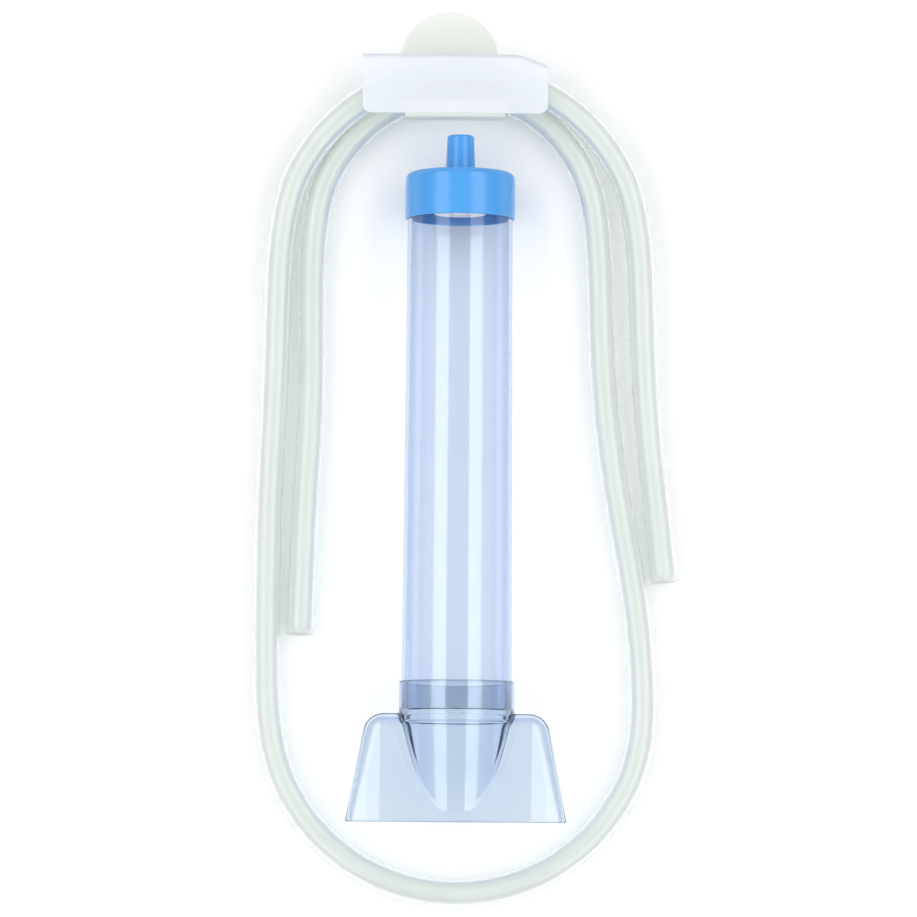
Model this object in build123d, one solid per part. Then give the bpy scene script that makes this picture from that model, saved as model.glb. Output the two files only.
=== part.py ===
from build123d import *
from math import cos, pi, radians, sin, tan
import os

# Gravel vacuum siphon, laid flat as it is stored. Millimetres.
# X is across, +Y runs along the tube towards the hose spigot, +Z is up.
# The origin is on the table, under the middle of the siphon (from nozzle mouth to spigot tip).

# ---- driving dimensions: siphon ------------------------------------------------------------
AXIS_Z = 27.1            # height of the tube's axis: the nozzle's collar lies on the table
TUBE_LENGTH = 252.0
TUBE_TOP_R = 24.8        # outer radius of the straight seat under the cap
TUBE_BOTTOM_R = 26.0     # outer radius of the straight seat inside the nozzle
TUBE_WALL = 1.5
TOP_SEAT = 22.0          # straight length at the cap end
BOTTOM_SEAT = 16.0       # straight length at the nozzle end

COLLAR_R = 27.1
COLLAR_BORE_R = 26.06
COLLAR_LENGTH = 13.5     # how far the collar covers the tube
LEDGE = 1.5              # step that the tube's end stops on
FAN_HEIGHT = 51.0
FAN_TOP_HALF = 42.4      # half width at the shoulders, before they are rounded
FAN_MOUTH_HALF = 52.0
SHOULDER_R = 8.0
FAN_HALF_DEPTH = 11.0    # at the middle of the mouth
FAN_BULGE_R = 185.0      # the broad faces are gently barrelled about Y
FAN_WALL = 1.8
CROWN_MARGIN = 0.6       # lets the shoulders' round meet the broad faces at a slight angle
TONGUE_MOUTH_R = 22.5    # radius of the half-cone tongue at the mouth's plane
TONGUE_APEX = 2.6        # the tongue fades into the broad face this far above the mouth

CAP_R = 26.0
CAP_BORE_R = 24.86
CAP_HEIGHT = 22.0
CAP_TOP = 1.9
CAP_EDGE_R = 3.2
CAP_GAP = 0.1            # between the tube's end and the cap's roof
SPIGOT_LENGTH = 18.0
SPIGOT_TIP_R = 6.35
SPIGOT_BASE_R = 7.05
SPIGOT_BORE_R = 4.5
ROOF_BORE_R = 5.6        # lead-in through the cap's roof, below the spigot's bore
BOSS_R = 12.6
BOSS_LENGTH = 9.0        # below the cap's roof

# ---- driving dimensions: self-start flap valve ----------------------------------------------
SLEEVE_R = 10.6
SLEEVE_FLANGE_R = 12.2
SLEEVE_BORE_R = 7.7
SLEEVE_FLANGE = 8.6
SEAT_THICKNESS = 2.0
SEAT_BORE_R = 4.4
FLAP_R = 5.6
FLAP_THICKNESS = 1.2
FLAP_LIFT = 0.05         # running gap between the closed flap and its seat
KNUCKLE_R = 1.3
KNUCKLE_HALF = 3.0
PIN_R = 0.75
PIN_CLEARANCE = 0.05
PIN_INNER_END = -9.4
PIN_OUTER_END = 12.0

# ---- driving dimensions: hose and its hanger -------------------------------------------------
HOSE_R = 6.65
HOSE_BORE_R = 5.15
TOP_ARC_Y = 108.6        # centre of the coil's upper half turn
BOTTOM_ARC_Y = -106.0    # centre of its lower half turn
OUTER_SIDE_R = 85.9      # centre-line radii of the two strands over the top
OUTER_CROWN_R = 85.25
INNER_LEFT_R = 70.0
INNER_RIGHT_R = 65.0
INNER_CROWN_R = 78.0
OUTER_SIDE_Z = 9.5       # centre-line heights of the outer strand over the top
OUTER_CROWN_Z = 19.7
BOTTOM_R = 89.7
ARC_STEPS = 7            # route points in each half turn
STEP_ANGLE = 180 / ARC_STEPS

SHEET = 0.8              # thickness of both hanger pieces
STRAP_X = -2.8
STRAP_WIDTH = 47.4
STRAP_BOTTOM_Y = 173.4   # lower edge on the table
LIP_BOTTOM_Y = 170.7     # lower edge at the front, so the wall between leans out
DOME_X = -5.6
DOME_Y = 202.7
DOME_R = 23.2
PLATE_X = -2.75
PLATE_WIDTH = 87.7
PLATE_BOTTOM_Y = 173.0
PLATE_TOP_Y = 201.6
PLATE_CORNER_R = 4.0

# ---- places along the axis, worked out from the above ---------------------------------------
SIPHON_LENGTH = FAN_HEIGHT + LEDGE + TUBE_LENGTH + CAP_GAP + CAP_TOP + SPIGOT_LENGTH
MOUTH_Y = -SIPHON_LENGTH / 2
FAN_TOP_Y = MOUTH_Y + FAN_HEIGHT
TUBE_BOTTOM_Y = FAN_TOP_Y + LEDGE
TUBE_TOP_Y = TUBE_BOTTOM_Y + TUBE_LENGTH
COLLAR_RIM_Y = TUBE_BOTTOM_Y + COLLAR_LENGTH
CAP_ROOF_Y = TUBE_TOP_Y + CAP_GAP
CAP_TOP_Y = CAP_ROOF_Y + CAP_TOP
CAP_BOTTOM_Y = CAP_TOP_Y - CAP_HEIGHT
SPIGOT_TIP_Y = CAP_TOP_Y + SPIGOT_LENGTH


def turned(points):
    """Solid of revolution about the tube's axis from (radius, y) corners."""
    outline = make_face(Polyline(*[(r, y) for r, y in points], close=True))
    return Pos(0, 0, AXIS_Z) * revolve(outline, Axis.Y)


def tube_between(radius, y_low, y_high):
    """Plain cylinder on the tube's axis."""
    return turned([(0, y_low), (radius, y_low), (radius, y_high), (0, y_high)])


def cross_pin(radius, x_low, x_high, y, z):
    """Cylinder along X."""
    length = x_high - x_low
    return Pos((x_low + x_high) / 2, y, z) * Rot(0, 90, 0) * Cylinder(radius, length)


def make_gravel_tube():
    """Open tube that widens a little towards the nozzle, with a straight seat at each end."""
    top_seat_y = TUBE_TOP_Y - TOP_SEAT
    bottom_seat_y = TUBE_BOTTOM_Y + BOTTOM_SEAT
    return turned([
        (TUBE_BOTTOM_R - TUBE_WALL, TUBE_BOTTOM_Y), (TUBE_BOTTOM_R, TUBE_BOTTOM_Y),
        (TUBE_BOTTOM_R, bottom_seat_y), (TUBE_TOP_R, top_seat_y), (TUBE_TOP_R, TUBE_TOP_Y),
        (TUBE_TOP_R - TUBE_WALL, TUBE_TOP_Y), (TUBE_TOP_R - TUBE_WALL, top_seat_y),
        (TUBE_BOTTOM_R - TUBE_WALL, bottom_seat_y),
    ])


def fan_blank(inset):
    """The fishtail's body, shrunk by inset: trapezoid from above, barrelled faces, round shoulders."""
    top_y = FAN_TOP_Y - inset
    low_y = MOUTH_Y if inset == 0 else MOUTH_Y - 1
    slope = (FAN_MOUTH_HALF - FAN_TOP_HALF) / FAN_HEIGHT
    half_at = lambda y: FAN_TOP_HALF + slope * (FAN_TOP_Y - y) - inset
    half_depth = FAN_HALF_DEPTH - inset
    shoulder = SHOULDER_R - inset

    plan = Polyline((-half_at(low_y), low_y), (-half_at(top_y), top_y),
                    (half_at(top_y), top_y), (half_at(low_y), low_y), close=True)
    plan = fillet(make_face(plan).vertices().group_by(Axis.Y)[-1], shoulder)
    body = Pos(0, 0, AXIS_Z) * extrude(plan, half_depth + 1, both=True)

    bulge = FAN_BULGE_R - inset
    offset = bulge - half_depth
    for side in (-1, 1):
        drum = Pos(0, MOUTH_Y + FAN_HEIGHT / 2, AXIS_Z + side * offset) * Rot(90, 0, 0)
        body &= drum * Cylinder(bulge, 3 * FAN_HEIGHT)

    crown = half_depth + CROWN_MARGIN
    side_view = Polyline((low_y - 1, -crown), (top_y, -crown), (top_y, crown), (low_y - 1, crown), close=True)
    side_view = fillet(make_face(side_view).vertices().group_by(Axis.X)[-1], shoulder + CROWN_MARGIN)
    side_plane = Plane(origin=(0, 0, AXIS_Z), x_dir=(0, 1, 0), z_dir=(1, 0, 0))
    body &= extrude(side_plane * side_view, 2 * FAN_MOUTH_HALF, both=True)
    return body


def tongue_half(top_r, mouth_r, crest_at_mouth, y_top, y_low):
    """Upper half of the oblique cone that eases the round collar into the flat fan."""
    top = Plane(origin=(0, y_top, AXIS_Z), x_dir=(1, 0, 0), z_dir=(0, -1, 0))
    low = Plane(origin=(0, y_low, AXIS_Z + crest_at_mouth - mouth_r), x_dir=(1, 0, 0), z_dir=(0, -1, 0))
    cone = loft([top * Circle(top_r), low * Circle(mouth_r)], ruled=True)
    keep = Pos(0, (y_top + y_low) / 2, AXIS_Z + 50) * Box(200, 200, 100)
    return cone & keep


def tongue(inset, top_r, y_top, y_low):
    """Both halves of the tongue, shrunk by inset."""
    crest_slope = (COLLAR_R - FAN_HALF_DEPTH) / (FAN_HEIGHT - TONGUE_APEX)
    crest = COLLAR_R - crest_slope * (FAN_TOP_Y - y_low) - inset
    upper = tongue_half(top_r, TONGUE_MOUTH_R - inset, crest, y_top, y_low)
    lower = mirror(upper, Plane(origin=(0, 0, AXIS_Z), x_dir=(1, 0, 0), z_dir=(0, 0, 1)))
    return upper + lower


def make_nozzle():
    """Fishtail nozzle: collar over the tube, ledge, half-cone tongues and a flat wide mouth."""
    bore_r = TUBE_BOTTOM_R - TUBE_WALL
    outside = tube_between(COLLAR_R, FAN_TOP_Y, COLLAR_RIM_Y)
    outside += fan_blank(0)
    outside += tongue(0, COLLAR_R, FAN_TOP_Y, MOUTH_Y)
    inside = tube_between(COLLAR_BORE_R, TUBE_BOTTOM_Y, COLLAR_RIM_Y + 1)
    inside += tube_between(bore_r, FAN_TOP_Y - 0.5, TUBE_BOTTOM_Y + 0.5)
    inside += fan_blank(FAN_WALL)
    inside += tongue(FAN_WALL, bore_r, FAN_TOP_Y, MOUTH_Y - 1)
    return outside - inside


def make_top_cap():
    """Push-on cap with a tapered spigot for the hose and an inner boss for the valve."""
    roof_y = CAP_ROOF_Y
    cap = turned([(0, CAP_BOTTOM_Y), (CAP_R, CAP_BOTTOM_Y), (CAP_R, CAP_TOP_Y), (0, CAP_TOP_Y)])
    rim = cap.edges().filter_by(GeomType.CIRCLE).sort_by(Axis.Y)[-1]
    cap = fillet(rim, CAP_EDGE_R)
    spigot = turned([(0, CAP_TOP_Y - 1), (SPIGOT_BASE_R, CAP_TOP_Y - 1), (SPIGOT_BASE_R, CAP_TOP_Y),
                     (SPIGOT_TIP_R, SPIGOT_TIP_Y), (0, SPIGOT_TIP_Y)])
    tip = spigot.edges().filter_by(GeomType.CIRCLE).sort_by(Axis.Y)[-1]
    cap += fillet(tip, SPIGOT_TIP_R - SPIGOT_BORE_R - 0.35)
    cap -= turned([(BOSS_R, CAP_BOTTOM_Y - 1), (CAP_BORE_R, CAP_BOTTOM_Y - 1),
                   (CAP_BORE_R, roof_y), (BOSS_R, roof_y)])
    cap -= tube_between(BOSS_R + 0.5, CAP_BOTTOM_Y - 1, roof_y - BOSS_LENGTH)
    cap -= tube_between(SLEEVE_R, CAP_BOTTOM_Y - 1, roof_y)
    cap -= tube_between(ROOF_BORE_R, roof_y - 1, CAP_TOP_Y)
    return cap - tube_between(SPIGOT_BORE_R, roof_y - 1, SPIGOT_TIP_Y + 1)


# ---- valve places: the sleeve fills the boss and its flange butts against the boss's end -----
SLEEVE_TOP_Y = CAP_ROOF_Y
FLANGE_TOP_Y = CAP_ROOF_Y - BOSS_LENGTH
SLEEVE_BOTTOM_Y = FLANGE_TOP_Y - SLEEVE_FLANGE
SEAT_TOP_Y = SLEEVE_BOTTOM_Y + SEAT_THICKNESS
HINGE_Y = SEAT_TOP_Y + FLAP_LIFT + KNUCKLE_R
HINGE_Z = AXIS_Z + FLAP_R


def make_valve_sleeve():
    """Stepped sleeve pressed into the cap's boss, cross-drilled for the flap's pin."""
    sleeve = turned([
        (SLEEVE_BORE_R, SLEEVE_BOTTOM_Y), (SLEEVE_FLANGE_R, SLEEVE_BOTTOM_Y),
        (SLEEVE_FLANGE_R, FLANGE_TOP_Y), (SLEEVE_R, FLANGE_TOP_Y), (SLEEVE_R, SLEEVE_TOP_Y),
        (SLEEVE_BORE_R, SLEEVE_TOP_Y),
    ])
    return sleeve - cross_pin(PIN_R, PIN_INNER_END, PIN_OUTER_END, HINGE_Y, HINGE_Z)


def make_valve_seat():
    """Ring in the sleeve's lower end that the flap closes on."""
    return turned([(SEAT_BORE_R, SLEEVE_BOTTOM_Y), (SLEEVE_BORE_R, SLEEVE_BOTTOM_Y),
                   (SLEEVE_BORE_R, SEAT_TOP_Y), (SEAT_BORE_R, SEAT_TOP_Y)])


def make_flap_valve():
    """Disc that hangs closed from its knuckle and swings towards the spigot."""
    disc_low_y = SEAT_TOP_Y + FLAP_LIFT
    flap = tube_between(FLAP_R, disc_low_y, disc_low_y + FLAP_THICKNESS)
    flap += cross_pin(KNUCKLE_R, -KNUCKLE_HALF, KNUCKLE_HALF, HINGE_Y, HINGE_Z)
    web = Box(2 * KNUCKLE_HALF, FLAP_THICKNESS, 2 * KNUCKLE_R)
    flap += Pos(0, disc_low_y + FLAP_THICKNESS / 2, HINGE_Z - KNUCKLE_R) * web
    return flap - cross_pin(PIN_R + PIN_CLEARANCE, -2 * KNUCKLE_HALF, 2 * KNUCKLE_HALF, HINGE_Y, HINGE_Z)


def make_flap_pin():
    """Pin pushed through one side of the sleeve, ending blind in the other."""
    return cross_pin(PIN_R, PIN_INNER_END, PIN_OUTER_END, HINGE_Y, HINGE_Z)


# ---- hose: an oval coil of about one and a half turns -----------------------------------------
# Over the top the outer strand rides up on the inner one, where the hanger ties them.
HOSE_LOW_Z = HOSE_R + 0.05
HOSE_CLIP_Z = HOSE_R + SHEET + 0.4      # the inner strand lies on the hanger's strap


def arc_point(radius, centre_y, angle, height):
    """Corner of a polygon whose sides touch the arc halfway between corners."""
    corner_r = radius / cos(radians(STEP_ANGLE / 2))
    return corner_r * cos(radians(angle)), centre_y + corner_r * sin(radians(angle)), height


def top_points(left_r, right_r, crown_r, side_z, crown_z):
    """Half turn over the top: radius and height change from the sides to the crown."""
    points = []
    for step in range(ARC_STEPS):
        angle = 180 - STEP_ANGLE * (step + 0.5)
        share = sin(radians(angle)) ** 1.5
        side_r = left_r if angle > 90 else right_r
        points.append(arc_point(side_r + (crown_r - side_r) * share, TOP_ARC_Y, angle,
                                side_z + (crown_z - side_z) * share))
    return points


def bottom_points():
    """Half turn round the bottom, flat on the table."""
    angles = [-STEP_ANGLE * (step + 0.5) for step in range(ARC_STEPS)]
    return [arc_point(BOTTOM_R, BOTTOM_ARC_Y, angle, HOSE_LOW_Z) for angle in angles]


def hose_route():
    """From the free end on the left, over the top inside, round the bottom, over the top outside."""
    route = [(-74.5, -74, HOSE_LOW_Z), (-73.0, -18, HOSE_LOW_Z), (-69.5, 42, HOSE_LOW_Z)]
    route += top_points(INNER_LEFT_R, INNER_RIGHT_R, INNER_CROWN_R, HOSE_LOW_Z, HOSE_CLIP_Z)
    route += [(68.0, 46, HOSE_LOW_Z), (75.5, -10, HOSE_LOW_Z), (86.5, -66, HOSE_LOW_Z)]
    route += bottom_points()
    route += [(-90.5, -62, HOSE_LOW_Z), (-90.0, -8, HOSE_LOW_Z), (-87.2, 46, HOSE_LOW_Z + 2)]
    route += top_points(OUTER_SIDE_R, OUTER_SIDE_R, OUTER_CROWN_R, OUTER_SIDE_Z, OUTER_CROWN_Z)
    route += [(88.0, 48, HOSE_LOW_Z + 2), (93.0, -2, HOSE_LOW_Z), (98.5, -48, HOSE_LOW_Z)]
    return [Vector(*p) for p in route]


def hose_path(route):
    """Straight runs joined by arcs, each as large as its two runs allow."""
    radii = []
    for before, corner, after in zip(route, route[1:], route[2:]):
        half_turn = radians((corner - before).get_angle(after - corner)) / 2
        shorter = min((corner - before).length, (after - corner).length)
        radii.append(0.45 * shorter / tan(half_turn))
    print("hose arc radii:", [round(r, 1) for r in radii])
    return FilletPolyline(*route, radius=radii)


def make_hose():
    """Soft vinyl hose with both ends bare."""
    path = hose_path(hose_route())
    start = Plane(origin=path @ 0, z_dir=path % 0)
    outside = sweep(start * Circle(HOSE_R), path=path)
    bore = sweep(start * Circle(HOSE_BORE_R), path=path)
    hose = outside - bore
    section = pi * (HOSE_R ** 2 - HOSE_BORE_R ** 2)
    ratio = hose.volume / (section * path.length)
    print("hose length", round(path.length, 1), "volume ratio", round(ratio, 4))
    return hose


# ---- hanger: a rear strap with a domed tab, and a plate across the front of both strands ------
HOSE_TOP_Z = OUTER_CROWN_Z + HOSE_R
LIP_Z = HOSE_TOP_Z + 0.35
PLATE_Z = LIP_Z + SHEET + 0.1


def block(x_centre, width, y_low, y_high, z_low, z_high):
    """Box from its limits."""
    size = Box(width, y_high - y_low, z_high - z_low)
    return Pos(x_centre, (y_low + y_high) / 2, (z_low + z_high) / 2) * size


def make_hanger_strap():
    """Rear strap: domed tab above, under both strands, and a lip folded up round the inner one."""
    lip_top = LIP_Z + SHEET
    strap = Pos(DOME_X, DOME_Y, SHEET / 2) * Cylinder(DOME_R, SHEET)
    strap += block(STRAP_X, STRAP_WIDTH, STRAP_BOTTOM_Y, DOME_Y, 0, SHEET)
    wall = make_face(Polyline((STRAP_BOTTOM_Y, 0), (STRAP_BOTTOM_Y + SHEET, 0), (LIP_BOTTOM_Y + SHEET, lip_top),
                              (LIP_BOTTOM_Y, lip_top), close=True))
    side = Plane(origin=(STRAP_X - STRAP_WIDTH / 2, 0, 0), x_dir=(0, 1, 0), z_dir=(1, 0, 0))
    strap += extrude(side * wall, STRAP_WIDTH)
    strap += block(STRAP_X, STRAP_WIDTH, LIP_BOTTOM_Y, PLATE_BOTTOM_Y + 6, LIP_Z, lip_top)
    return strap


def make_hanger_plate():
    """Front plate, wider than the strap, with a wall down to the strap behind the outer strand."""
    plate = block(PLATE_X, PLATE_WIDTH, PLATE_BOTTOM_Y, PLATE_TOP_Y, PLATE_Z, PLATE_Z + SHEET)
    plate = fillet(plate.edges().filter_by(Axis.Z).group_by(Axis.Y)[0], PLATE_CORNER_R)
    plate += block(STRAP_X, STRAP_WIDTH, PLATE_TOP_Y - SHEET, PLATE_TOP_Y, SHEET, PLATE_Z + SHEET)
    return plate


PARTS = {
    "gravel_tube": make_gravel_tube,
    "nozzle": make_nozzle,
    "top_cap": make_top_cap,
    "valve_sleeve": make_valve_sleeve,
    "valve_seat": make_valve_seat,
    "flap_valve": make_flap_valve,
    "flap_pin": make_flap_pin,
    "hose": make_hose,
    "hanger_strap": make_hanger_strap,
    "hanger_plate": make_hanger_plate,
}

os.makedirs("parts", exist_ok=True)
for name, make in PARTS.items():
    export_step(make(), f"parts/{name}.step")
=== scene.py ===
"""Gravel vacuum siphon: clear tube, fishtail nozzle, blue cap, coiled vinyl hose in its hanger."""
from math import cos, pi, radians, sin

import bpy
import numpy as np
from mathutils import Euler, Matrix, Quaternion, Vector


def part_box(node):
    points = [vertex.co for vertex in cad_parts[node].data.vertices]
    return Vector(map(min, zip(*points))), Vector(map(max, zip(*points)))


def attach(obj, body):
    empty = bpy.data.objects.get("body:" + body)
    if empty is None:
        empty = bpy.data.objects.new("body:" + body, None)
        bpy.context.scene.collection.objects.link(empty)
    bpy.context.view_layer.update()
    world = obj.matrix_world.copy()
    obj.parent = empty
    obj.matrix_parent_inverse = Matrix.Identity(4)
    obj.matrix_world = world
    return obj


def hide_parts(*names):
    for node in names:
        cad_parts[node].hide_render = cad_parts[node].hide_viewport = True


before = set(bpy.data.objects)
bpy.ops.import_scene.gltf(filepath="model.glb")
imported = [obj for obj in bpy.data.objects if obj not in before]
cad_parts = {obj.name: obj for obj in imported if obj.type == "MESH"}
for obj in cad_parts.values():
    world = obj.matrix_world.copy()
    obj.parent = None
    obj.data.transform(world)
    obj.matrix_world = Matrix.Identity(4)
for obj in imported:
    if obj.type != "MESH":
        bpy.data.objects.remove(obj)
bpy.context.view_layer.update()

MM = 0.001


# ---- places read from the frame, in millimetres ------------------------------------------------
def node_box_mm(node):
    """A CAD node's lowest and highest corner, in millimetres."""
    low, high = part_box(node)
    return low / MM, high / MM


TUBE_LOW, TUBE_HIGH = node_box_mm("gravel_tube")
NOZZLE_LOW, NOZZLE_HIGH = node_box_mm("nozzle")
CAP_LOW, CAP_HIGH = node_box_mm("top_cap")
STRAP_TOP_Y = node_box_mm("hanger_strap")[1].y
PLATE_LOW, PLATE_HIGH = node_box_mm("hanger_plate")
AXIS_Z = (NOZZLE_LOW.z + NOZZLE_HIGH.z) / 2      # height of the tube's axis

# ---- the camera --------------------------------------------------------------------------------
CAMERA_ELEVATION = 85.5
CAMERA_ROLL = 0.44
CAMERA_DISTANCE = 2.4
CAMERA_LENS = 199.2
CAMERA_SENSOR = 36.0
CAMERA_TARGET = Vector((0.00006, 0.0094, 0.020))


def make_camera():
    """Long lens almost straight above, a little towards the nozzle's end."""
    data = bpy.data.cameras.new("camera")
    data.lens = CAMERA_LENS
    data.sensor_width = CAMERA_SENSOR
    camera = bpy.data.objects.new("camera", data)
    tilt = radians(CAMERA_ELEVATION)
    back = Vector((0, -cos(tilt), sin(tilt)))
    camera.location = CAMERA_TARGET + back * CAMERA_DISTANCE
    turn = Euler((radians(90 - CAMERA_ELEVATION), 0, 0)).to_quaternion()
    camera.rotation_euler = (turn @ Quaternion((0, 0, 1), radians(CAMERA_ROLL))).to_euler()
    bpy.context.collection.objects.link(camera)
    bpy.context.scene.camera = camera


make_camera()


# ---- materials ---------------------------------------------------------------------------------
class Nodes:
    """Short way to build one material's node tree."""

    def __init__(self, name):
        self.material = bpy.data.materials.new(name)
        self.material.use_nodes = True
        self.tree = self.material.node_tree
        self.shader = self.tree.nodes["Principled BSDF"]
        self.output = self.tree.nodes["Material Output"]
        self.place = self.add("ShaderNodeTexCoord").outputs["Object"]

    def add(self, kind, **settings):
        node = self.tree.nodes.new(kind)
        for key, value in settings.items():
            setattr(node, key, value)
        return node

    def link(self, source, target):
        self.tree.links.new(source, target)

    def set(self, **values):
        """Constants of the shader's sockets; underscores stand for spaces."""
        for key, value in values.items():
            self.shader.inputs[key.replace("_", " ")].default_value = value

    def stretched(self, scale):
        """Object coordinates scaled along each axis, for streaks."""
        mapping = self.add("ShaderNodeMapping")
        mapping.inputs["Scale"].default_value = scale
        self.link(self.place, mapping.inputs["Vector"])
        return mapping.outputs["Vector"]

    def noise(self, scale, detail=3.0, vector=None):
        """Noise of a scale in cells a metre, on object coordinates unless given others."""
        texture = self.add("ShaderNodeTexNoise")
        texture.inputs["Scale"].default_value = scale
        texture.inputs["Detail"].default_value = detail
        self.link(vector or self.place, texture.inputs["Vector"])
        return texture.outputs["Fac"]

    def colour(self, factor, low, high):
        """Base colour between low and high as the factor goes from 0 to 1."""
        ramp = self.add("ShaderNodeValToRGB")
        ramp.color_ramp.elements[0].color = (*low, 1)
        ramp.color_ramp.elements[1].color = (*high, 1)
        self.link(factor, ramp.inputs["Fac"])
        self.link(ramp.outputs["Color"], self.shader.inputs["Base Color"])

    def roughness(self, factor, low, high):
        """Roughness between low and high as the factor goes from 0 to 1."""
        spread = self.add("ShaderNodeMapRange", clamp=False)
        spread.inputs["To Min"].default_value = low
        spread.inputs["To Max"].default_value = high
        self.link(factor, spread.inputs["Value"])
        self.link(spread.outputs["Result"], self.shader.inputs["Roughness"])

    def mix(self, factor, first, second):
        """Blend of two colours."""
        mix = self.add("ShaderNodeMix", data_type="RGBA")
        self.link(factor, mix.inputs[0])
        mix.inputs[6].default_value = (*first, 1)
        mix.inputs[7].default_value = (*second, 1)
        return mix.outputs[2]

    def bump(self, height, depth):
        """Full-strength bump of a depth in metres."""
        bump = self.add("ShaderNodeBump")
        bump.inputs["Distance"].default_value = depth
        bump.inputs["Strength"].default_value = 1.0
        self.link(height, bump.inputs["Height"])
        self.link(bump.outputs["Normal"], self.shader.inputs["Normal"])

    def facing(self, blend):
        """0 where the surface faces the eye, 1 at its rim."""
        layer = self.add("ShaderNodeLayerWeight")
        layer.inputs["Blend"].default_value = blend
        return layer.outputs["Facing"]

    def let_lamps_through(self, tint):
        """Lamps shine through, so clear walls cast only a faint shadow."""
        clear = self.add("ShaderNodeBsdfTransparent")
        clear.inputs["Color"].default_value = (*tint, 1)
        path = self.add("ShaderNodeLightPath")
        mix = self.add("ShaderNodeMixShader")
        self.link(path.outputs["Is Shadow Ray"], mix.inputs[0])
        self.link(self.shader.outputs[0], mix.inputs[1])
        self.link(clear.outputs[0], mix.inputs[2])
        self.link(mix.outputs[0], self.output.inputs["Surface"])


def clear_plastic(name, centre_tint, rim_tint, waviness):
    """Moulded clear plastic: faint blue, deeper blue where the surface turns edge-on."""
    m = Nodes(name)
    rim = m.facing(0.35)
    m.link(m.mix(rim, centre_tint, rim_tint), m.shader.inputs["Base Color"])
    m.set(Transmission_Weight=1.0, IOR=1.49)
    smear = m.noise(38.0, 4.0)
    m.roughness(smear, 0.012, 0.05)
    m.bump(m.noise(16.0, 2.0, m.stretched((1.0, 0.35, 1.0))), waviness)
    m.let_lamps_through((0.93, 0.95, 0.98))
    return m.material


def blue_plastic():
    """Glossy moulded blue with faint flow lines."""
    m = Nodes("blue_plastic")
    flow = m.noise(55.0, 3.0, m.stretched((1.0, 0.25, 1.0)))
    m.colour(flow, (0.050, 0.305, 0.740), (0.066, 0.355, 0.800))
    m.roughness(m.noise(240.0, 4.0), 0.20, 0.30)
    m.set(Coat_Weight=0.25, Coat_Roughness=0.08, IOR=1.5)
    m.set(Subsurface_Weight=0.08, Subsurface_Scale=0.003)
    m.bump(m.noise(420.0, 3.0), 0.00004)
    return m.material


def white_plastic():
    """Satin white moulding."""
    m = Nodes("white_plastic")
    m.colour(m.noise(90.0), (0.80, 0.80, 0.79), (0.88, 0.88, 0.87))
    m.roughness(m.noise(260.0), 0.32, 0.45)
    m.bump(m.noise(500.0), 0.00003)
    return m.material


def flap_rubber():
    """Soft pale flap with a powdery surface."""
    m = Nodes("flap_rubber")
    m.colour(m.noise(160.0), (0.72, 0.74, 0.77), (0.82, 0.84, 0.86))
    m.roughness(m.noise(400.0), 0.5, 0.7)
    m.bump(m.noise(900.0), 0.00003)
    return m.material


def drawn_steel():
    """Pin of drawn stainless wire, with marks along its length."""
    m = Nodes("drawn_steel")
    marks = m.noise(900.0, 3.0, m.stretched((0.05, 1.0, 1.0)))
    m.colour(marks, (0.50, 0.50, 0.51), (0.66, 0.66, 0.67))
    m.roughness(marks, 0.22, 0.38)
    m.set(Metallic=1.0)
    m.bump(marks, 0.00002)
    return m.material


def vinyl():
    """Milky soft vinyl with extrusion lines along the hose, which its UV map follows."""
    m = Nodes("vinyl_hose")
    m.place = m.add("ShaderNodeUVMap", uv_map="along").outputs["UV"]
    lines = m.noise(1.0, 4.0, m.stretched((14.0, 6.0, 1.0)))
    cloud = m.noise(1.0, 3.0, m.stretched((3.0, 22.0, 1.0)))
    m.colour(cloud, (0.72, 0.76, 0.735), (0.80, 0.835, 0.81))
    m.roughness(lines, 0.16, 0.30)
    m.set(Transmission_Weight=0.55, IOR=1.42, Coat_Weight=0.3, Coat_Roughness=0.12)
    m.bump(lines, 0.00006)
    m.let_lamps_through((0.80, 0.82, 0.81))
    return m.material


def milky_plastic(name, low, high):
    """Soft translucent sheet, cloudy, with faint streaks across."""
    m = Nodes(name)
    cloud = m.noise(30.0, 4.0, m.stretched((0.35, 1.6, 1.0)))
    m.colour(cloud, low, high)
    m.roughness(m.noise(120.0, 4.0), 0.24, 0.40)
    m.set(Transmission_Weight=0.45, IOR=1.45)
    m.bump(m.noise(90.0, 2.0, m.stretched((0.12, 1.6, 1.0))), 0.00008)
    m.let_lamps_through((0.80, 0.82, 0.83))
    return m.material


def table_paint():
    """Pale matt surface under the siphon."""
    m = Nodes("pale_table")
    m.colour(m.noise(6.0), (0.90, 0.90, 0.90), (0.93, 0.93, 0.93))
    m.roughness(m.noise(40.0), 0.75, 0.9)
    return m.material


TUBE_CLEAR = clear_plastic("clear_tube", (0.85, 0.885, 0.925), (0.40, 0.54, 0.83), 0.00010)
NOZZLE_CLEAR = clear_plastic("clear_nozzle", (0.82, 0.868, 0.900), (0.26, 0.42, 0.80), 0.00014)


# ---- mesh helpers ------------------------------------------------------------------------------
def new_piece(name, verts_mm, faces, material):
    """Mesh object in metres from points in millimetres, smooth shaded."""
    mesh = bpy.data.meshes.new(name)
    mesh.from_pydata((np.asarray(verts_mm) * MM).tolist(), [], np.asarray(faces).tolist())
    mesh.validate()
    mesh.shade_smooth()
    mesh.materials.append(material)
    piece = bpy.data.objects.new(name, mesh)
    bpy.context.collection.objects.link(piece)
    return piece


def finish_piece(piece, body, node):
    """The piece rides on its body and stands for its CAD node, which it hides."""
    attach(piece, body)
    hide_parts(node)
    return piece


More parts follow.
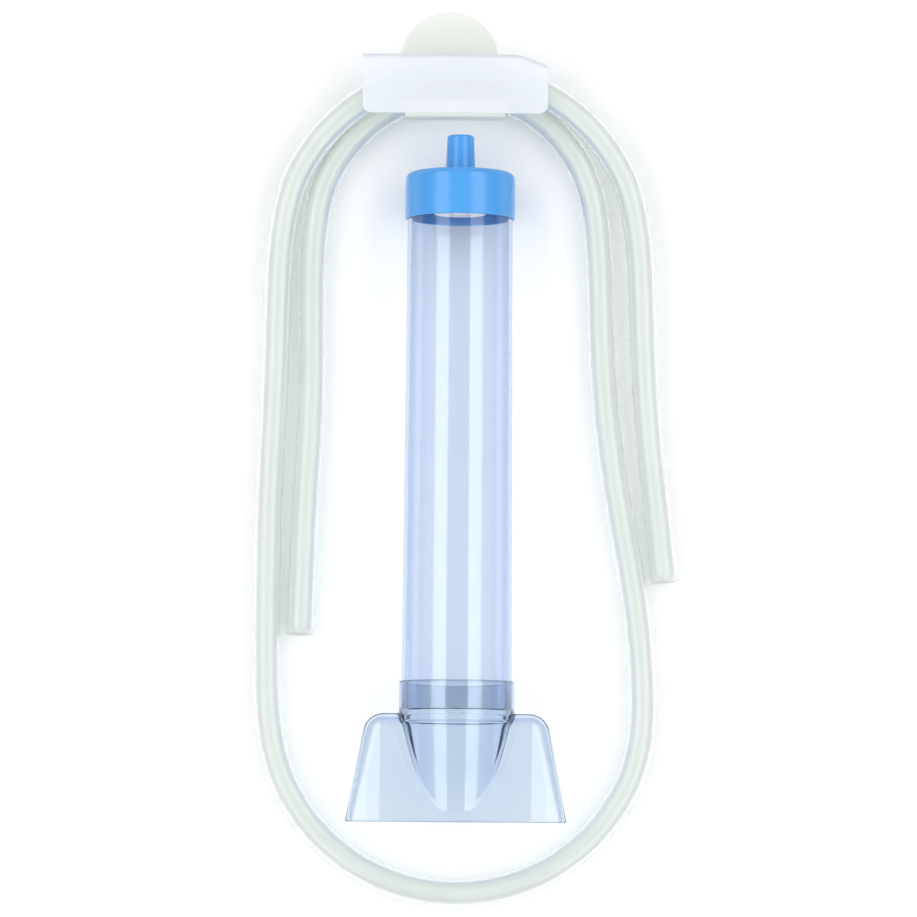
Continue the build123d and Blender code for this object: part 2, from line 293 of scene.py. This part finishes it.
def rounded(corners, radii, steps=5):
    """Closed outline with its corners rounded: each corner becomes a short arc of points."""
    count = len(corners)
    outline = []
    for i, radius in enumerate(radii):
        here = np.array(corners[i], float)
        before = np.array(corners[i - 1], float) - here
        after = np.array(corners[(i + 1) % count], float) - here
        if radius == 0:
            outline.append(here)
            continue
        before /= np.linalg.norm(before)
        after /= np.linalg.norm(after)
        half = np.arccos(np.clip(before @ after, -1, 1)) / 2
        reach = radius / np.tan(half)
        middle = before + after
        centre = here + middle / np.linalg.norm(middle) * radius / np.sin(half)
        start = here + before * reach - centre
        end = here + after * reach - centre
        swing = pi - 2 * half
        for k in range(steps + 1):
            t = k / steps
            spoke = np.sin((1 - t) * swing) * start + np.sin(t * swing) * end
            outline.append(centre + spoke / np.sin(swing))
    return outline


def lathe(name, outline, material, segments=160):
    """Closed (radius, y) outline turned about the tube's axis."""
    angles = np.linspace(0, 2 * pi, segments, endpoint=False)
    radii = np.array([p[0] for p in outline])
    ys = np.array([p[1] for p in outline])
    x = np.outer(radii, np.sin(angles))
    z = np.outer(radii, np.cos(angles)) + AXIS_Z
    y = np.repeat(ys[:, None], segments, axis=1)
    verts = np.stack([x, y, z], axis=-1).reshape(-1, 3)
    rows = len(outline)
    faces = []
    for row in range(rows):
        here, after = row * segments, (row + 1) % rows * segments
        for k in range(segments):
            turn = (k + 1) % segments
            faces.append((here + k, here + turn, after + turn, after + k))
    return new_piece(name, verts, faces, material)


def subdivided(outline, longest):
    """The same outline with long stretches cut, so that shading stays even."""
    out = []
    for here, after in zip(outline, outline[1:] + outline[:1]):
        side = after - here
        cuts = max(1, int(np.linalg.norm(side) / longest))
        out += [here + side * k / cuts for k in range(cuts)]
    return out


def length_along(points):
    """Distance from the first point to each point, along the line."""
    return np.concatenate([[0], np.cumsum(np.linalg.norm(np.diff(points, axis=0), axis=1))])


# ---- the hose ----------------------------------------------------------------------------------
HOSE_R = 6.65
HOSE_BORE_R = 5.15
SHEET = 0.8                             # thickness of the hanger's sheets
TOP_ARC_Y = 108.6                       # centre of the half turns at the hanger
BOTTOM_ARC_Y = -106.0                   # centre of the half turn past the nozzle
OUTER_SIDE_R = 85.9
OUTER_CROWN_R = 85.25
INNER_LEFT_R = 70.0
INNER_RIGHT_R = 65.0
INNER_CROWN_R = 78.0
BOTTOM_R = 89.7
HOSE_LOW_Z = HOSE_R + 0.05              # strand lying on the table
HOSE_LEAN_Z = HOSE_LOW_Z + 2            # strand on its way up to the outer half turn
HOSE_CLIP_Z = HOSE_R + SHEET + 0.4      # inner strand over the strap
OUTER_SIDE_Z = 9.5
OUTER_CROWN_Z = 19.7                    # outer strand over the inner one
CROWN_EASE = 1.5                        # how late the half turn rises to its crown
ARC_STEPS = 7
STEP_ANGLE = 180 / ARC_STEPS
HOSE_SEGMENTS = 48
CURVE_RESOLUTION = 16
SQUEEZE = 0.006                         # how far soft stretches of the hose narrow
SQUEEZE_WAVES = (41, 17)                # in radians a metre


def arc_point(radius, centre_y, angle, height):
    """Corner of a polygon whose sides touch the arc halfway between corners."""
    corner_r = radius / cos(radians(STEP_ANGLE / 2))
    return corner_r * cos(radians(angle)), centre_y + corner_r * sin(radians(angle)), height


def top_points(left_r, right_r, crown_r, side_z, crown_z):
    """Half turn over the top: radius and height change from the sides to the crown."""
    points = []
    for step in range(ARC_STEPS):
        angle = 180 - STEP_ANGLE * (step + 0.5)
        share = sin(radians(angle)) ** CROWN_EASE
        side_r = left_r if angle > 90 else right_r
        points.append(arc_point(side_r + (crown_r - side_r) * share, TOP_ARC_Y, angle,
                                side_z + (crown_z - side_z) * share))
    return points


def bottom_points():
    """Half turn round the bottom, flat on the table."""
    angles = [-STEP_ANGLE * (step + 0.5) for step in range(ARC_STEPS)]
    return [arc_point(BOTTOM_R, BOTTOM_ARC_Y, angle, HOSE_LOW_Z) for angle in angles]


def hose_route():
    """Control points, in metres: from the free end on the left over the top inside, round the
    bottom, over the top outside and down to the free end on the right."""
    route = [(-74.5, -74, HOSE_LOW_Z), (-73.0, -18, HOSE_LOW_Z), (-69.5, 42, HOSE_LOW_Z)]
    route += top_points(INNER_LEFT_R, INNER_RIGHT_R, INNER_CROWN_R, HOSE_LOW_Z, HOSE_CLIP_Z)
    route += [(68.0, 46, HOSE_LOW_Z), (75.5, -10, HOSE_LOW_Z), (86.5, -66, HOSE_LOW_Z)]
    route += bottom_points()
    route += [(-90.5, -62, HOSE_LOW_Z), (-90.0, -8, HOSE_LOW_Z), (-87.2, 46, HOSE_LEAN_Z)]
    route += top_points(OUTER_SIDE_R, OUTER_SIDE_R, OUTER_CROWN_R, OUTER_SIDE_Z, OUTER_CROWN_Z)
    route += [(88.0, 48, HOSE_LEAN_Z), (93.0, -2, HOSE_LOW_Z), (98.5, -48, HOSE_LOW_Z)]
    return [Vector(p) * MM for p in route]


def smooth_line(route):
    """Points along the NURBS curve whose control points are the route."""
    curve = bpy.data.curves.new("hose_line", "CURVE")
    curve.dimensions = "3D"
    curve.resolution_u = CURVE_RESOLUTION
    spline = curve.splines.new("NURBS")
    spline.points.add(len(route) - 1)
    for point, place in zip(spline.points, route):
        point.co = (*place, 1)
    spline.order_u = 3
    spline.use_endpoint_u = True
    holder = bpy.data.objects.new("hose_line", curve)
    bpy.context.collection.objects.link(holder)
    bpy.context.view_layer.update()
    mesh = bpy.data.meshes.new_from_object(holder)
    line = np.array([v.co for v in mesh.vertices])
    bpy.data.objects.remove(holder)
    bpy.data.meshes.remove(mesh)
    return line


def hose_piece():
    """Hollow tube swept along the line, with a UV map of turns round and metres along."""
    line = smooth_line(hose_route())
    count, around = len(line), HOSE_SEGMENTS
    tangent = np.gradient(line, axis=0)
    tangent /= np.linalg.norm(tangent, axis=1)[:, None]
    side = np.cross(tangent, (0.0, 0.0, 1.0))
    side /= np.linalg.norm(side, axis=1)[:, None]
    lift = np.cross(side, tangent)
    along = length_along(line)
    angles = np.linspace(0, 2 * pi, around, endpoint=False)
    sag = 1 + SQUEEZE * np.sin(along * SQUEEZE_WAVES[0]) * np.cos(along * SQUEEZE_WAVES[1])
    narrow = np.minimum(sag, 1.0)[:, None, None]
    cosines, sines = np.cos(angles)[None, :, None], np.sin(angles)[None, :, None]
    ring = side[:, None] * cosines + lift[:, None] * sines
    skins = [line[:, None] + ring * (radius * MM) * narrow for radius in (HOSE_R, HOSE_BORE_R)]
    verts = np.concatenate([skin.reshape(-1, 3) for skin in skins])
    inner = count * around
    faces, uvs = [], []
    for row in range(count - 1):
        here, after = row * around, (row + 1) * around
        for k in range(around):
            turn = (k + 1) % around
            quad = (here + k, here + turn, after + turn, after + k)
            corner = [(k / around, along[row]), ((k + 1) / around, along[row]),
                      ((k + 1) / around, along[row + 1]), (k / around, along[row + 1])]
            faces += [quad, tuple(inner + v for v in reversed(quad))]
            uvs += corner + corner[::-1]
    for row, flip in ((0, True), (count - 1, False)):
        here = row * around
        for k in range(around):
            turn = (k + 1) % around
            quad = (here + k, here + turn, inner + here + turn, inner + here + k)
            faces.append(quad[::-1] if flip else quad)
            uvs += [(k / around, along[row])] * 4
    piece = new_piece("hose_tube", verts / MM, faces, vinyl())
    layer = piece.data.uv_layers.new(name="along")
    layer.data.foreach_set("uv", np.array(uvs, np.float32).ravel())
    finish_piece(piece, "hose_coil", "hose")
    return piece, line


# ---- the clear tube and the cap ----------------------------------------------------------------
TUBE_WALL = 1.5
TUBE_TOP_R = 24.8
TOP_SEAT = 22.0                         # straight stretch inside the cap
BOTTOM_SEAT = 16.0                      # straight stretch inside the nozzle's collar
EASED = 0.35                            # radius of an eased edge
TUBE_RING_GAP = 8.0                     # longest step between rings of the mesh


def tube_piece():
    """Clear tube, widening a little towards the nozzle, its rims eased."""
    bottom_r = TUBE_HIGH.x
    bottom_bore_r, top_bore_r = bottom_r - TUBE_WALL, TUBE_TOP_R - TUBE_WALL
    low, high = TUBE_LOW.y, TUBE_HIGH.y
    outline = rounded([
        (bottom_bore_r, low), (bottom_r, low), (bottom_r, low + BOTTOM_SEAT),
        (TUBE_TOP_R, high - TOP_SEAT), (TUBE_TOP_R, high), (top_bore_r, high),
        (top_bore_r, high - TOP_SEAT), (bottom_bore_r, low + BOTTOM_SEAT),
    ], [EASED, EASED, 0, 0, EASED, EASED, 0, 0])
    piece = lathe("gravel_tube_clear", subdivided(outline, TUBE_RING_GAP), TUBE_CLEAR)
    return finish_piece(piece, "tube", "gravel_tube")


CAP_R = 26.0
CAP_BORE_R = 24.86
CAP_TOP = 1.9                           # thickness of the cap's roof
CAP_EDGE_R = 3.2                        # round of its outer shoulder
CAP_RIM_R = 0.45
CAP_RING_GAP = 3.0
CAP_SEGMENTS = 192
SPIGOT_ROOT_R = 0.9                     # fillet at the spigot's foot
SPIGOT_LIP_R = 1.4                      # round of its tip
SPIGOT_LENGTH = 18.0
SPIGOT_TIP_R = 6.35
SPIGOT_BASE_R = 7.05
SPIGOT_BORE_R = 4.5
ROOF_BORE_R = 5.6
BOSS_R = 12.6
BOSS_LENGTH = 9.0
SLEEVE_R = 10.6                         # outside of the valve sleeve in the boss
BOSS_EDGE_R = 0.25
BOSS_ROOT_R = 0.5


def cap_piece():
    """Push-on cap: skirt, rounded shoulder, tapered spigot and the valve's boss inside."""
    tip, low = CAP_HIGH.y, CAP_LOW.y
    top = tip - SPIGOT_LENGTH
    roof = top - CAP_TOP
    boss = roof - BOSS_LENGTH
    corners = [
        ((CAP_BORE_R, low), EASED), ((CAP_R, low), CAP_RIM_R), ((CAP_R, top), CAP_EDGE_R),
        ((SPIGOT_BASE_R, top), SPIGOT_ROOT_R), ((SPIGOT_TIP_R, tip), SPIGOT_LIP_R),
        ((SPIGOT_BORE_R, tip), EASED), ((SPIGOT_BORE_R, top), 0), ((ROOF_BORE_R, top), 0),
        ((ROOF_BORE_R, roof), 0), ((SLEEVE_R, roof), 0), ((SLEEVE_R, boss), BOSS_EDGE_R),
        ((BOSS_R, boss), BOSS_EDGE_R), ((BOSS_R, roof), BOSS_ROOT_R),
        ((CAP_BORE_R, roof), BOSS_ROOT_R),
    ]
    outline = rounded([place for place, _ in corners], [radius for _, radius in corners], steps=8)
    piece = lathe("cap_moulding", subdivided(outline, CAP_RING_GAP), blue_plastic(), CAP_SEGMENTS)
    return finish_piece(piece, "cap", "top_cap")


# ---- the nozzle: a distance field turned into a mesh -------------------------------------------
COLLAR_R = 27.1
COLLAR_BORE_R = 26.06
LEDGE_BORE_R = 24.5
LEDGE = 1.5                             # step the tube's end stands on
FAN_HEIGHT = 51.0
FAN_TOP_HALF = 42.4
FAN_MOUTH_HALF = 52.0
SHOULDER_R = 8.0
FAN_HALF_DEPTH = 11.0
FAN_BULGE_R = 185.0                     # how the fan's faces barrel
FAN_WALL = 1.8
FAN_EDGE_SLACK = 0.4                    # flat left beside the round of the fan's side edge
FAN_EDGE_LEAST = 1.0
TONGUE_MOUTH_R = 22.5
TONGUE_APEX = 2.6                       # height above the mouth where the tongue runs out
TONGUE_CREASE = 0.7                     # fillets where shapes join, outside and inside
COLLAR_CREASE = 0.5
BORE_CREASE = 0.4
COLLAR_EDGE = 0.45
BORE_EDGE = 0.1
MOUTH_ROUND = 0.8                       # round of the mouth's rim and of the collar's rim
MOUTH_ZONE = 4                          # height above the mouth up to which its round holds
NET_STEP = 0.5                          # cell of the grid the surface is read on
NET_MARGIN = 1.3
SETTLE_REACH = 0.4                      # longest move onto the surface in one round
SLOPE_FLOOR = 0.05
SLOPE_REACH = 0.02
MOUTH_Y = NOZZLE_LOW.y
FAN_TOP_Y = MOUTH_Y + FAN_HEIGHT
LEDGE_Y = FAN_TOP_Y + LEDGE
RIM_Y = NOZZLE_HIGH.y


def both(a, b, radius):
    """Overlap of two fields, its edge rounded by the radius."""
    u, v = a + radius, b + radius
    return np.minimum(np.maximum(u, v), 0) + np.hypot(np.maximum(u, 0), np.maximum(v, 0)) - radius


def either(a, b, radius):
    """Union of two fields, its crease filled by the radius."""
    share = np.maximum(radius - np.abs(a - b), 0) / radius
    return np.minimum(a, b) - share * share * radius / 4


def cylinder(x, y, z, radius, low, high, edge):
    """Cylinder along Y."""
    ends = np.abs(y - (low + high) / 2) - (high - low) / 2
    return both(np.hypot(x, z) - radius, ends, edge)


def fan_field(x, y, z, inset):
    """Fishtail body: trapezoid seen from above, barrelled faces, well rounded edges."""
    slope = (FAN_MOUTH_HALF - FAN_TOP_HALF) / FAN_HEIGHT
    lean = 1 / np.hypot(1, slope)
    top = y - (FAN_TOP_Y - inset)
    flank = (np.abs(x) - FAN_TOP_HALF - slope * (FAN_TOP_Y - y)) * lean + inset
    plan = both(flank, top, SHOULDER_R - inset)
    half_depth = FAN_HALF_DEPTH - x * x / (2 * FAN_BULGE_R)
    edge = np.clip(half_depth - FAN_EDGE_SLACK, FAN_EDGE_LEAST, SHOULDER_R) - inset
    return both(plan, np.abs(z) - half_depth + inset, edge)


def tongue_field(x, y, z, inset, top_r):
    """Two oblique half cones that ease the round collar into the flat fan."""
    down = np.clip((FAN_TOP_Y - y) / FAN_HEIGHT, 0, 1.1)
    crest_drop = (COLLAR_R - FAN_HALF_DEPTH) / (FAN_HEIGHT - TONGUE_APEX) * FAN_HEIGHT
    radius = top_r + (TONGUE_MOUTH_R - inset - top_r) * down
    crest = top_r + (COLLAR_R - crest_drop - inset - top_r) * down
    shell = np.hypot(x, np.abs(z) - crest + radius) - radius
    return np.maximum(shell, y - FAN_TOP_Y)


def nozzle_field(x, y, z):
    """Signed distance, near enough, to the nozzle's surface: negative inside the plastic."""
    outer_tongue = tongue_field(x, y, z, 0.0, COLLAR_R)
    outside = either(fan_field(x, y, z, 0.0), outer_tongue, TONGUE_CREASE)
    collar = cylinder(x, y, z, COLLAR_R, FAN_TOP_Y - 4, RIM_Y, COLLAR_EDGE)
    outside = either(outside, collar, COLLAR_CREASE)
    inner_tongue = tongue_field(x, y, z, FAN_WALL, LEDGE_BORE_R)
    inside = either(fan_field(x, y, z, FAN_WALL), inner_tongue, BORE_CREASE)
    ledge_bore = cylinder(x, y, z, LEDGE_BORE_R, FAN_TOP_Y - 1, LEDGE_Y + 3, BORE_EDGE)
    collar_bore = cylinder(x, y, z, COLLAR_BORE_R, LEDGE_Y, RIM_Y + 9, BORE_EDGE)
    inside = np.minimum(np.minimum(inside, ledge_bore), collar_bore)
    mouth_edge = both(outside, MOUTH_Y - y, MOUTH_ROUND)
    rim_round = np.where(y < MOUTH_Y + MOUTH_ZONE, MOUTH_ROUND, EASED)
    return both(mouth_edge, -inside, rim_round)


def slope_of(field, points):
    """The field's gradient at points."""
    parts = []
    for axis in range(3):
        step = np.zeros(3)
        step[axis] = SLOPE_REACH
        rise = field(*(points + step).T) - field(*(points - step).T)
        parts.append(rise / (2 * SLOPE_REACH))
    return np.stack(parts, axis=1)


def settle(field, points, rounds):
    """Points moved onto the field's zero surface."""
    for _ in range(rounds):
        grad = slope_of(field, points)
        size = np.maximum((grad * grad).sum(1), SLOPE_FLOOR)
        gap = np.clip(field(*points.T), -SETTLE_REACH, SETTLE_REACH)
        points = points - grad * (gap / size)[:, None]
    return points


def net_mesh(field, low, high, step):
    """Surface net: one vertex in each grid cell that the surface crosses, then settled onto it."""
    axes = [np.arange(a, b + step, step) for a, b in zip(low, high)]
    inside = field(*np.meshgrid(*axes, indexing="ij")) < 0
    count = np.zeros([n - 1 for n in inside.shape], np.int8)
    for corner in np.ndindex(2, 2, 2):
        window = tuple(slice(c, c + n) for c, n in zip(corner, count.shape))
        count += inside[window]
    active = (count > 0) & (count < 8)
    index = np.full(count.shape, -1)
    index[active] = np.arange(active.sum())
    cells = np.argwhere(active)
    points = np.array(low) + (cells + 0.5) * step
    quads = []
    for axis in range(3):
        a, b = [(1, 2), (2, 0), (0, 1)][axis]
        here = np.take(inside, range(inside.shape[axis] - 1), axis)
        after = np.take(inside, range(1, inside.shape[axis]), axis)
        edges = np.argwhere(here != after)
        around = []
        for back_a, back_b in ((1, 1), (0, 1), (0, 0), (1, 0)):
            cell = edges.copy()
            cell[:, a] -= back_a
            cell[:, b] -= back_b
            around.append(index[tuple(cell.T)])
        quad = np.stack(around, axis=1)
        flip = ~here[tuple(edges.T)]
        quad[flip] = quad[flip][:, ::-1]
        quads.append(quad)
    quads = np.concatenate(quads)
    points = settle(field, points, 4)
    for _ in range(3):
        points = settle(field, relaxed(points, quads), 2)
    return points, quads


def relaxed(points, quads):
    """Each point moved halfway to the middle of its neighbours."""
    total = np.zeros_like(points)
    count = np.zeros(len(points))
    for k in range(4):
        here, after = quads[:, k], quads[:, (k + 1) % 4]
        for one, other in ((here, after), (after, here)):
            np.add.at(total, one, points[other])
            np.add.at(count, one, 1)
    return points * 0.5 + total / count[:, None] * 0.5


def nozzle_piece():
    """The nozzle's surface, about half a millimetre between points."""
    low = (-FAN_MOUTH_HALF - NET_MARGIN, MOUTH_Y - NET_MARGIN, -COLLAR_R - NET_MARGIN)
    high = (FAN_MOUTH_HALF + NET_MARGIN, RIM_Y + NET_MARGIN, COLLAR_R + NET_MARGIN)
    points, quads = net_mesh(nozzle_field, low, high, NET_STEP)
    points[:, 2] += AXIS_Z
    piece = new_piece("nozzle_clear", points, quads, NOZZLE_CLEAR)
    return finish_piece(piece, "nozzle", "nozzle")


# ---- the hanger --------------------------------------------------------------------------------
def sheet_piece(name, grid, material):
    """Thin sheet from a grid of middle-surface points in millimetres, thickened both ways."""
    rows, columns = grid.shape[:2]
    corners = [r * columns + c for r in range(rows - 1) for c in range(columns - 1)]
    faces = [(k, k + 1, k + columns + 1, k + columns) for k in corners]
    piece = new_piece(name, grid.reshape(-1, 3), faces, material)
    thick = piece.modifiers.new("thick", "SOLIDIFY")
    thick.thickness = SHEET * MM
    thick.offset = 0
    thick.use_even_offset = True
    ease = piece.modifiers.new("ease", "BEVEL")
    ease.width = SHEET * 0.3 * MM
    ease.segments = 2
    ease.limit_method = "ANGLE"
    return piece


def folded_line(corners, radii):
    """Open line in the YZ plane with rounded folds, cut into even steps, and the way along it."""
    count = len(corners)
    points = [np.array(corners[0], float)]
    for i in range(1, count - 1):
        arc = rounded([corners[i - 1], corners[i], corners[i + 1]], [0, radii[i], 0], steps=8)
        points += [np.array(p) for p in arc[1:-1]]
    points.append(np.array(corners[-1], float))
    points = np.array(points)
    along = length_along(points)
    even = np.linspace(0, along[-1], int(along[-1] / SHEET_STEP) + 1)
    return np.stack([np.interp(even, along, points[:, k]) for k in (0, 1)], axis=1), even


SHEET_STEP = 0.6                        # between rows of a sheet's mesh
STRAP_X = -2.8
STRAP_WIDTH = 47.4
STRAP_COLUMNS = 81
STRAP_FOLD_R = 1.4
STRAP_BOTTOM_Y = 173.4
LIP_BOTTOM_Y = 170.7
LIP_Z = OUTER_CROWN_Z + HOSE_R + 0.35   # underside of the lip, over the outer strand
LIP_HEIGHT = 8.6
LIP_CORNER_R = 2.5
DOME_X = -5.6
DOME_Y = 202.7
DOME_R = 23.2
DOME_BLEND = 4.0                        # stretch over which the dome runs into the strap


def hanger_strap_piece():
    """Domed tab, rear strap under both strands, a wall beside them and a lip folded over them."""
    half = SHEET / 2
    line, along = folded_line(
        [(STRAP_TOP_Y, half), (STRAP_BOTTOM_Y + half, half),
         (LIP_BOTTOM_Y + half, LIP_Z + half), (LIP_BOTTOM_Y + LIP_HEIGHT, LIP_Z + half)],
        [0, STRAP_FOLD_R, STRAP_FOLD_R, 0])
    across = np.linspace(-1, 1, STRAP_COLUMNS)
    above = np.clip(line[:, 0] - DOME_Y, 0, None)
    dome = np.sqrt(np.clip(DOME_R ** 2 - above ** 2, 0.01, None))
    blend = np.clip((along - (STRAP_TOP_Y - DOME_Y)) / DOME_BLEND, 0, 1)
    blend = blend * blend * (3 - 2 * blend)
    spans = dome + (STRAP_WIDTH / 2 - dome) * blend
    middles = DOME_X + (STRAP_X - DOME_X) * blend
    near_end = np.clip(LIP_CORNER_R - (along[-1] - along), 0, None)
    spans = spans - LIP_CORNER_R + np.sqrt(np.clip(LIP_CORNER_R ** 2 - near_end ** 2, 0, None))
    grid = np.zeros((len(line), len(across), 3))
    grid[..., 0] = middles[:, None] + spans[:, None] * across
    grid[..., 1] = line[:, 0][:, None]
    grid[..., 2] = line[:, 1][:, None]
    cloudy = milky_plastic("milky_strap", (0.84, 0.85, 0.81), (0.90, 0.905, 0.87))
    piece = sheet_piece("hanger_strap_sheet", grid, cloudy)
    return finish_piece(piece, "hose_coil", "hanger_strap")


PLATE_COLUMNS = 141
PLATE_CORNER_R = 4.0
PLATE_FOLD_R = 2.6
PLATE_RETURN = 6.0                      # how far its top edge is folded back down
CREASES = (0.10, 0.07)                  # heights of the two sets of creases
DIP = 0.35                              # sag of the middle between its edges
SLACK_WIDTH = 15.0                      # stretch of its right end that slopes down
SLACK_DROP = 5.5
SLACK_START = 8                         # height above the lower edge where the slope begins


def hanger_plate_piece():
    """Front plate over both strands: soft sheet with creases, its top folded back and down."""
    half = SHEET / 2
    width = PLATE_HIGH.x - PLATE_LOW.x
    centre = (PLATE_HIGH.x + PLATE_LOW.x) / 2
    top_z = PLATE_HIGH.z - half
    back_y = PLATE_HIGH.y - half
    line, along = folded_line(
        [(PLATE_LOW.y, top_z), (back_y, top_z), (back_y, top_z - PLATE_RETURN)],
        [0, PLATE_FOLD_R, 0])
    across = np.linspace(-1, 1, PLATE_COLUMNS)
    lift = np.clip(PLATE_CORNER_R - along, 0, PLATE_CORNER_R)
    spans = width / 2 - PLATE_CORNER_R + np.sqrt(PLATE_CORNER_R ** 2 - lift ** 2)
    x = centre + spans[:, None] * across
    y = np.repeat(line[:, 0][:, None], len(across), axis=1)
    z = np.repeat(line[:, 1][:, None], len(across), axis=1)
    share = np.clip(along / along[-1], 0, 1)[:, None]
    long_crease = CREASES[0] * np.sin(along * 1.15 + 0.4)[:, None] * np.cos(x * 0.05)
    crease = long_crease + CREASES[1] * np.sin(along[:, None] * 2.3 + x * 0.03)
    dip = DIP * np.sin(share * pi) * (0.6 + 0.4 * np.cos(x * 0.045))
    z = z + crease * np.sin(np.clip(share * 1.25, 0, 1) * pi) - dip
    slack = np.clip((x - (PLATE_HIGH.x - SLACK_WIDTH)) / SLACK_WIDTH, 0, 1)
    slope_y = PLATE_LOW.y + SLACK_START
    y = y - slack ** 1.3 * SLACK_DROP * np.clip((y - slope_y) / (back_y - slope_y), 0, 1)
    grid = np.stack([x, y, z], axis=-1)
    cloudy = milky_plastic("milky_plate", (0.80, 0.83, 0.87), (0.88, 0.90, 0.92))
    piece = sheet_piece("hanger_plate_sheet", grid, cloudy)
    return finish_piece(piece, "hose_coil", "hanger_plate")


# ---- making it all -----------------------------------------------------------------------------
hose, hose_line = hose_piece()
strap = hanger_strap_piece()
plate = hanger_plate_piece()
tube_piece()
cap_piece()
nozzle_piece()


def dress(node, material):
    """A CAD node keeps its shape and gets a finished material."""
    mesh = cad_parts[node].data
    mesh.materials.clear()
    mesh.materials.append(material)


WHITE = white_plastic()
dress("valve_sleeve", WHITE)
dress("valve_seat", WHITE)
dress("flap_valve", flap_rubber())
dress("flap_pin", drawn_steel())


# ---- table and light ---------------------------------------------------------------------------
TABLE_REACH = 3.0
TABLE_DROP = 0.0003                     # gap below the lowest solid
SOFTBOX_SIZE = (3.2, 0.9)
SOFTBOX_POWER = 17
SOFTBOX_AIM = (0, -0.25, 0)
HORIZON_END = 0.05                      # heights of the sky, 0 at the horizon and 1 overhead
OVERHEAD_START = 0.55
SKY_STRENGTH = 0.74


def table():
    """Plain pale floor, well past the picture."""
    reach = TABLE_REACH
    mesh = bpy.data.meshes.new("table")
    corners = [(-reach, -reach, 0), (reach, -reach, 0), (reach, reach, 0), (-reach, reach, 0)]
    mesh.from_pydata(corners, [], [(0, 1, 2, 3)])
    mesh.materials.append(table_paint())
    piece = bpy.data.objects.new("table", mesh)
    piece.location.z = -TABLE_DROP
    bpy.context.collection.objects.link(piece)


def softbox(name, place):
    """Long area light that faces a point below the camera."""
    data = bpy.data.lights.new(name, "AREA")
    data.shape = "RECTANGLE"
    data.size, data.size_y = SOFTBOX_SIZE
    data.energy = SOFTBOX_POWER
    light = bpy.data.objects.new(name, data)
    light.location = place
    aim = Vector(SOFTBOX_AIM) - Vector(place)
    light.rotation_euler = aim.to_track_quat("-Z", "Y").to_euler()
    bpy.context.collection.objects.link(light)


def sky():
    """Soft surround: bright overhead, a little darker and cooler towards the horizon."""
    world = bpy.data.worlds.new("studio")
    world.use_nodes = True
    tree = world.node_tree
    background = tree.nodes["Background"]
    coords = tree.nodes.new("ShaderNodeTexCoord")
    split = tree.nodes.new("ShaderNodeSeparateXYZ")
    ramp = tree.nodes.new("ShaderNodeValToRGB")
    ramp.color_ramp.elements[0].position = HORIZON_END
    ramp.color_ramp.elements[0].color = (0.58, 0.60, 0.64, 1)
    ramp.color_ramp.elements[1].position = OVERHEAD_START
    ramp.color_ramp.elements[1].color = (0.865, 0.868, 0.880, 1)
    tree.links.new(coords.outputs["Generated"], split.inputs[0])
    tree.links.new(split.outputs["Z"], ramp.inputs["Fac"])
    tree.links.new(ramp.outputs["Color"], background.inputs["Color"])
    background.inputs["Strength"].default_value = SKY_STRENGTH
    bpy.context.scene.world = world


def studio():
    """Two long softboxes either side of the camera, as over a copy stand."""
    sky()
    softbox("softbox_left", (-1.05, -0.25, 1.35))
    softbox("softbox_right", (1.05, -0.25, 1.35))
    bpy.context.scene.view_settings.view_transform = "Standard"


table()
studio()
